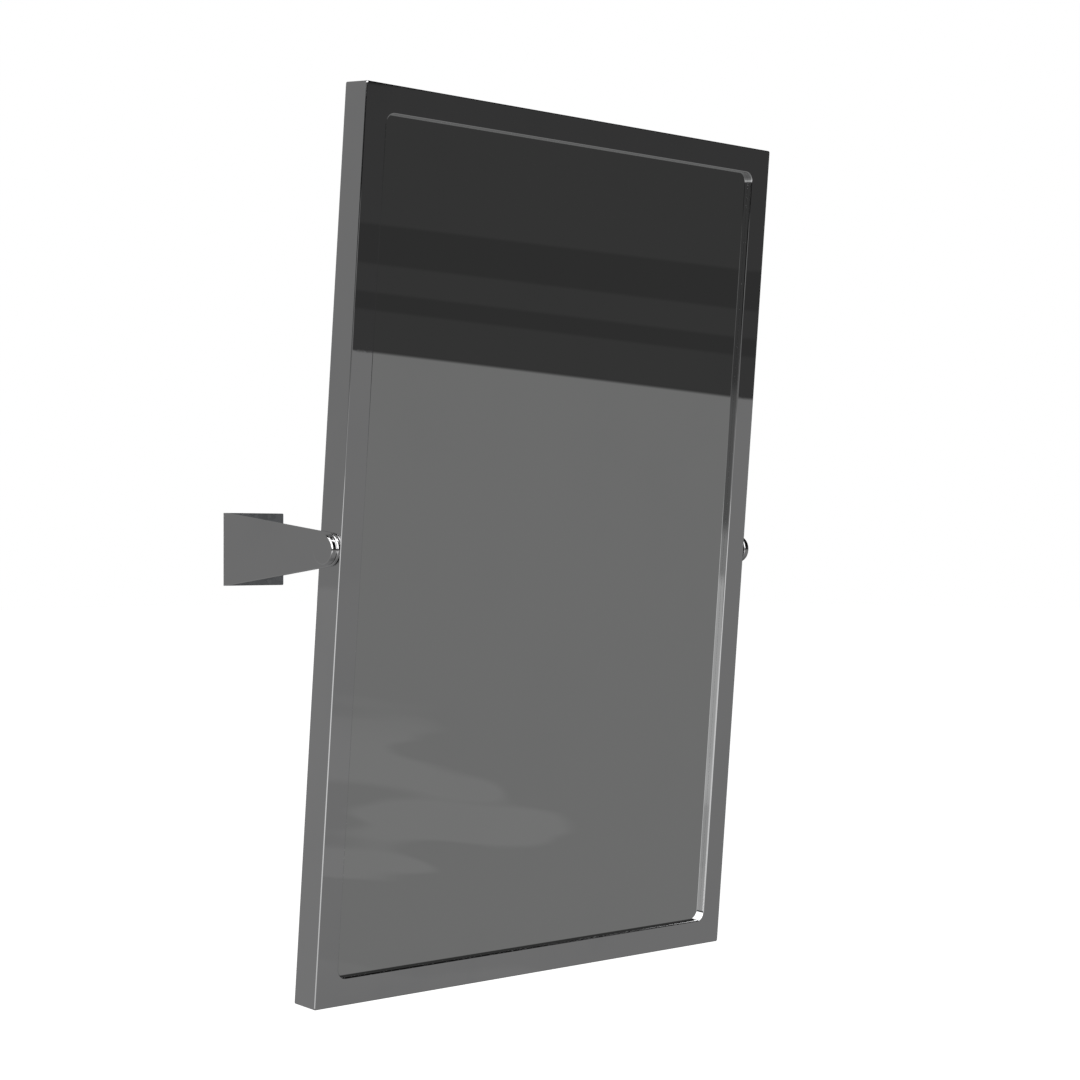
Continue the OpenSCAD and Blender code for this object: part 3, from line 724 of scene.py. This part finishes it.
def plate_with_zinc(tree, surface, place, radius, along, angle, threaded, pitch_mm):
    """Bright zinc over turned metal, with a thread where threaded is 1."""
    surface.inputs["Metallic"].default_value = 1.0
    rings = use_group(tree, turning_marks, (-900, 200), Radius=radius, Feed_mm=0.12)["Rings"]
    ridge = use_group(tree, thread, (-900, 0), Along=along, Angle=angle,
                      Pitch_mm=pitch_mm)["Ridge"]
    grain = use_group(tree, fine_grain, (-900, -300), Place=place, Grain_mm=0.15, Cloud_mm=4.0)
    colour = blend_colours(tree, grain["Cloud"], ZINC_BLUE, ZINC_STRAW, (-500, 200))
    roughness = spread(tree, grain["Grain"], 0.20, 0.34, (-500, 0))
    cut = sum_node(tree, "MULTIPLY", rings, 0.06)
    relief = blend_values(tree, threaded, cut, ridge, (-500, -300))
    finish_surface(tree, surface, colour, roughness, relief, depth_mm=0.8)


# %% Back screws
SCREW_X, SCREW_Z = 0.296, 0.4505
SCREW_PLACES = [(SCREW_X, 0.0, SCREW_Z), (0.0, 0.0, SCREW_Z), (SCREW_X, 0.0, SCREW_Z / 3)]
SCREW_SHANK_FROM = 0.0145
SCREW_PITCH_MM = 1.4
screw_zinc, tree, surface, spots = new_finish("zinc_screws")
on_back = use_group(tree, mirror_place, (-2000, 0), Place=spots["Object"],
                    Facing=spots["Normal"])["Place"]
folded = vector_node(tree, "ABSOLUTE", on_back, at=(-1800, 0)).outputs[0]
level_place = vector_node(tree, "MULTIPLY", folded, (1.0, 0.0, 1.0), (-1650, 0)).outputs[0]
depth = add_node(tree, "ShaderNodeSeparateXYZ", (-1650, -300), Vector=on_back).outputs["Y"]
distances = [vector_node(tree, "DISTANCE", level_place, place, (-1450, 0)).outputs["Value"]
             for place in SCREW_PLACES]
nearest = sum_node(tree, "MINIMUM", sum_node(tree, "MINIMUM", *distances[:2]), distances[2])
shank = flipped(tree, ramp(tree, depth, SCREW_SHANK_FROM, SCREW_SHANK_FROM + THREAD_FADE))
plate_with_zinc(tree, surface, spots["Object"], nearest, depth, 0.0, shank, SCREW_PITCH_MM)
give(screw_zinc, "rear_pan_screws")

# %% Pivot studs
SHOULDER_FROM, SHOULDER_TO = 0.3010, 0.3088
STUD_PITCH_MM = 1.25
stud_zinc, tree, surface, spots = new_finish("zinc_studs")
on_axis = use_group(tree, pivot_place, (-1500, 200), Place=spots["Object"])
inner_end = flipped(tree, ramp(tree, on_axis["Along"], SHOULDER_FROM - THREAD_FADE,
                               SHOULDER_FROM))
outer_end = ramp(tree, on_axis["Along"], SHOULDER_TO, SHOULDER_TO + THREAD_FADE)
threaded_ends = sum_node(tree, "MAXIMUM", inner_end, outer_end)
plate_with_zinc(tree, surface, spots["Object"], on_axis["Radius"], on_axis["Along"],
                on_axis["Angle"], threaded_ends, STUD_PITCH_MM)
give(stud_zinc, "pivot_stud_left", "pivot_stud_right")

# %% [markdown]
# ## Plain steel: milled blocks and disc springs
#
# The pivot blocks are sawn from bar and milled, which leaves overlapping arcs. The springs are
# stamped and tempered, so they carry oven colours, brown to blue, over a fine turned face.

# %% Milled pivot blocks
STEEL_OILED = (0.33, 0.335, 0.345, 1)
STEEL_BARE = (0.50, 0.50, 0.51, 1)
CUTTER_PATH = 0.06
steel, tree, surface, spots = new_finish("milled_steel")
surface.inputs["Metallic"].default_value = 1.0
cutter = vector_node(tree, "DISTANCE", spots["Object"],
                     (PIVOT[0], PIVOT[1], PIVOT[2] - CUTTER_PATH), (-1200, 200))
arcs = use_group(tree, turning_marks, (-900, 200), Radius=cutter.outputs["Value"],
                 Feed_mm=0.35)["Rings"]
grain = use_group(tree, fine_grain, (-900, -200), Place=spots["Object"], Grain_mm=0.25,
                  Cloud_mm=7.0)
colour = blend_colours(tree, grain["Cloud"], STEEL_OILED, STEEL_BARE, (-500, 200))
roughness = spread(tree, sum_node(tree, "MULTIPLY", grain["Cloud"], arcs), 0.26, 0.46)
relief = sum_node(tree, "ADD", arcs, sum_node(tree, "MULTIPLY", grain["Grain"], 0.3))
finish_surface(tree, surface, colour, roughness, relief, depth_mm=0.03)
give(steel, "pivot_block_left", "pivot_block_right")

# %% Tempered disc springs
TEMPER_BROWN = (0.30, 0.235, 0.17, 1)
TEMPER_BLUE = (0.20, 0.235, 0.31, 1)
TEMPER_SPREAD = (0.005, 0.010)  # radii in metres between which brown turns to blue
spring, tree, surface, spots = new_finish("spring_steel")
surface.inputs["Metallic"].default_value = 1.0
on_axis = use_group(tree, pivot_place, (-1300, 200), Place=spots["Object"])
rings = use_group(tree, turning_marks, (-1000, 200), Radius=on_axis["Radius"],
                  Feed_mm=0.18)["Rings"]
grain = use_group(tree, fine_grain, (-1000, -200), Place=spots["Object"], Grain_mm=0.2,
                  Cloud_mm=6.0)
outward = ramp(tree, on_axis["Radius"], *TEMPER_SPREAD, (-800, 0))
temper = sum_node(tree, "MULTIPLY", outward, spread(tree, grain["Cloud"], 0.5, 1.0))
colour = blend_colours(tree, temper, TEMPER_BROWN, TEMPER_BLUE, (-500, 200))
roughness = spread(tree, grain["Grain"], 0.28, 0.42, (-500, 0))
finish_surface(tree, surface, colour, roughness, rings, depth_mm=0.02)
give(spring, "disc_spring_left", "disc_spring_right")

# %% [markdown]
# ## Natural nylon
#
# The bushes and washers are turned from undyed nylon, a warm milky white. Light goes a little
# way into it, so the surface has some subsurface scattering. The faces that rub carry a faint
# grey ring of metal dust between the shoulder and the rim.

# %% Natural nylon
NYLON_CLEAN = (0.85, 0.84, 0.79, 1)
NYLON_RUBBED = (0.66, 0.655, 0.63, 1)
RUB_STARTS = (0.0055, 0.0070)  # radii in metres between which the grey ring fades in
RUB_ENDS = (0.0085, 0.0105)
nylon, tree, surface, spots = new_finish("white_nylon")
surface.inputs["Subsurface Weight"].default_value = 0.15
surface.inputs["Subsurface Scale"].default_value = 0.002
on_axis = use_group(tree, pivot_place, (-1300, 200), Place=spots["Object"])
rings = use_group(tree, turning_marks, (-1000, 200), Radius=on_axis["Radius"],
                  Feed_mm=0.15)["Rings"]
grain = use_group(tree, fine_grain, (-1000, -200), Place=spots["Object"], Grain_mm=0.3,
                  Cloud_mm=5.0)
past_shoulder = ramp(tree, on_axis["Radius"], *RUB_STARTS, (-800, 0))
before_rim = flipped(tree, ramp(tree, on_axis["Radius"], *RUB_ENDS))
rubbed = sum_node(tree, "MULTIPLY", sum_node(tree, "MULTIPLY", past_shoulder, before_rim),
                  spread(tree, rings, 0.1, 0.6))
colour = blend_colours(tree, rubbed, NYLON_CLEAN, NYLON_RUBBED, (-400, 200))
roughness = spread(tree, grain["Cloud"], 0.38, 0.52, (-500, 0))
relief = sum_node(tree, "ADD", sum_node(tree, "MULTIPLY", rings, 0.7),
                  sum_node(tree, "MULTIPLY", grain["Grain"], 0.3))
finish_surface(tree, surface, colour, roughness, relief, depth_mm=0.02)
give(nylon, "pivot_bush_left", "pivot_bush_right", "pivot_washer_left", "pivot_washer_right")
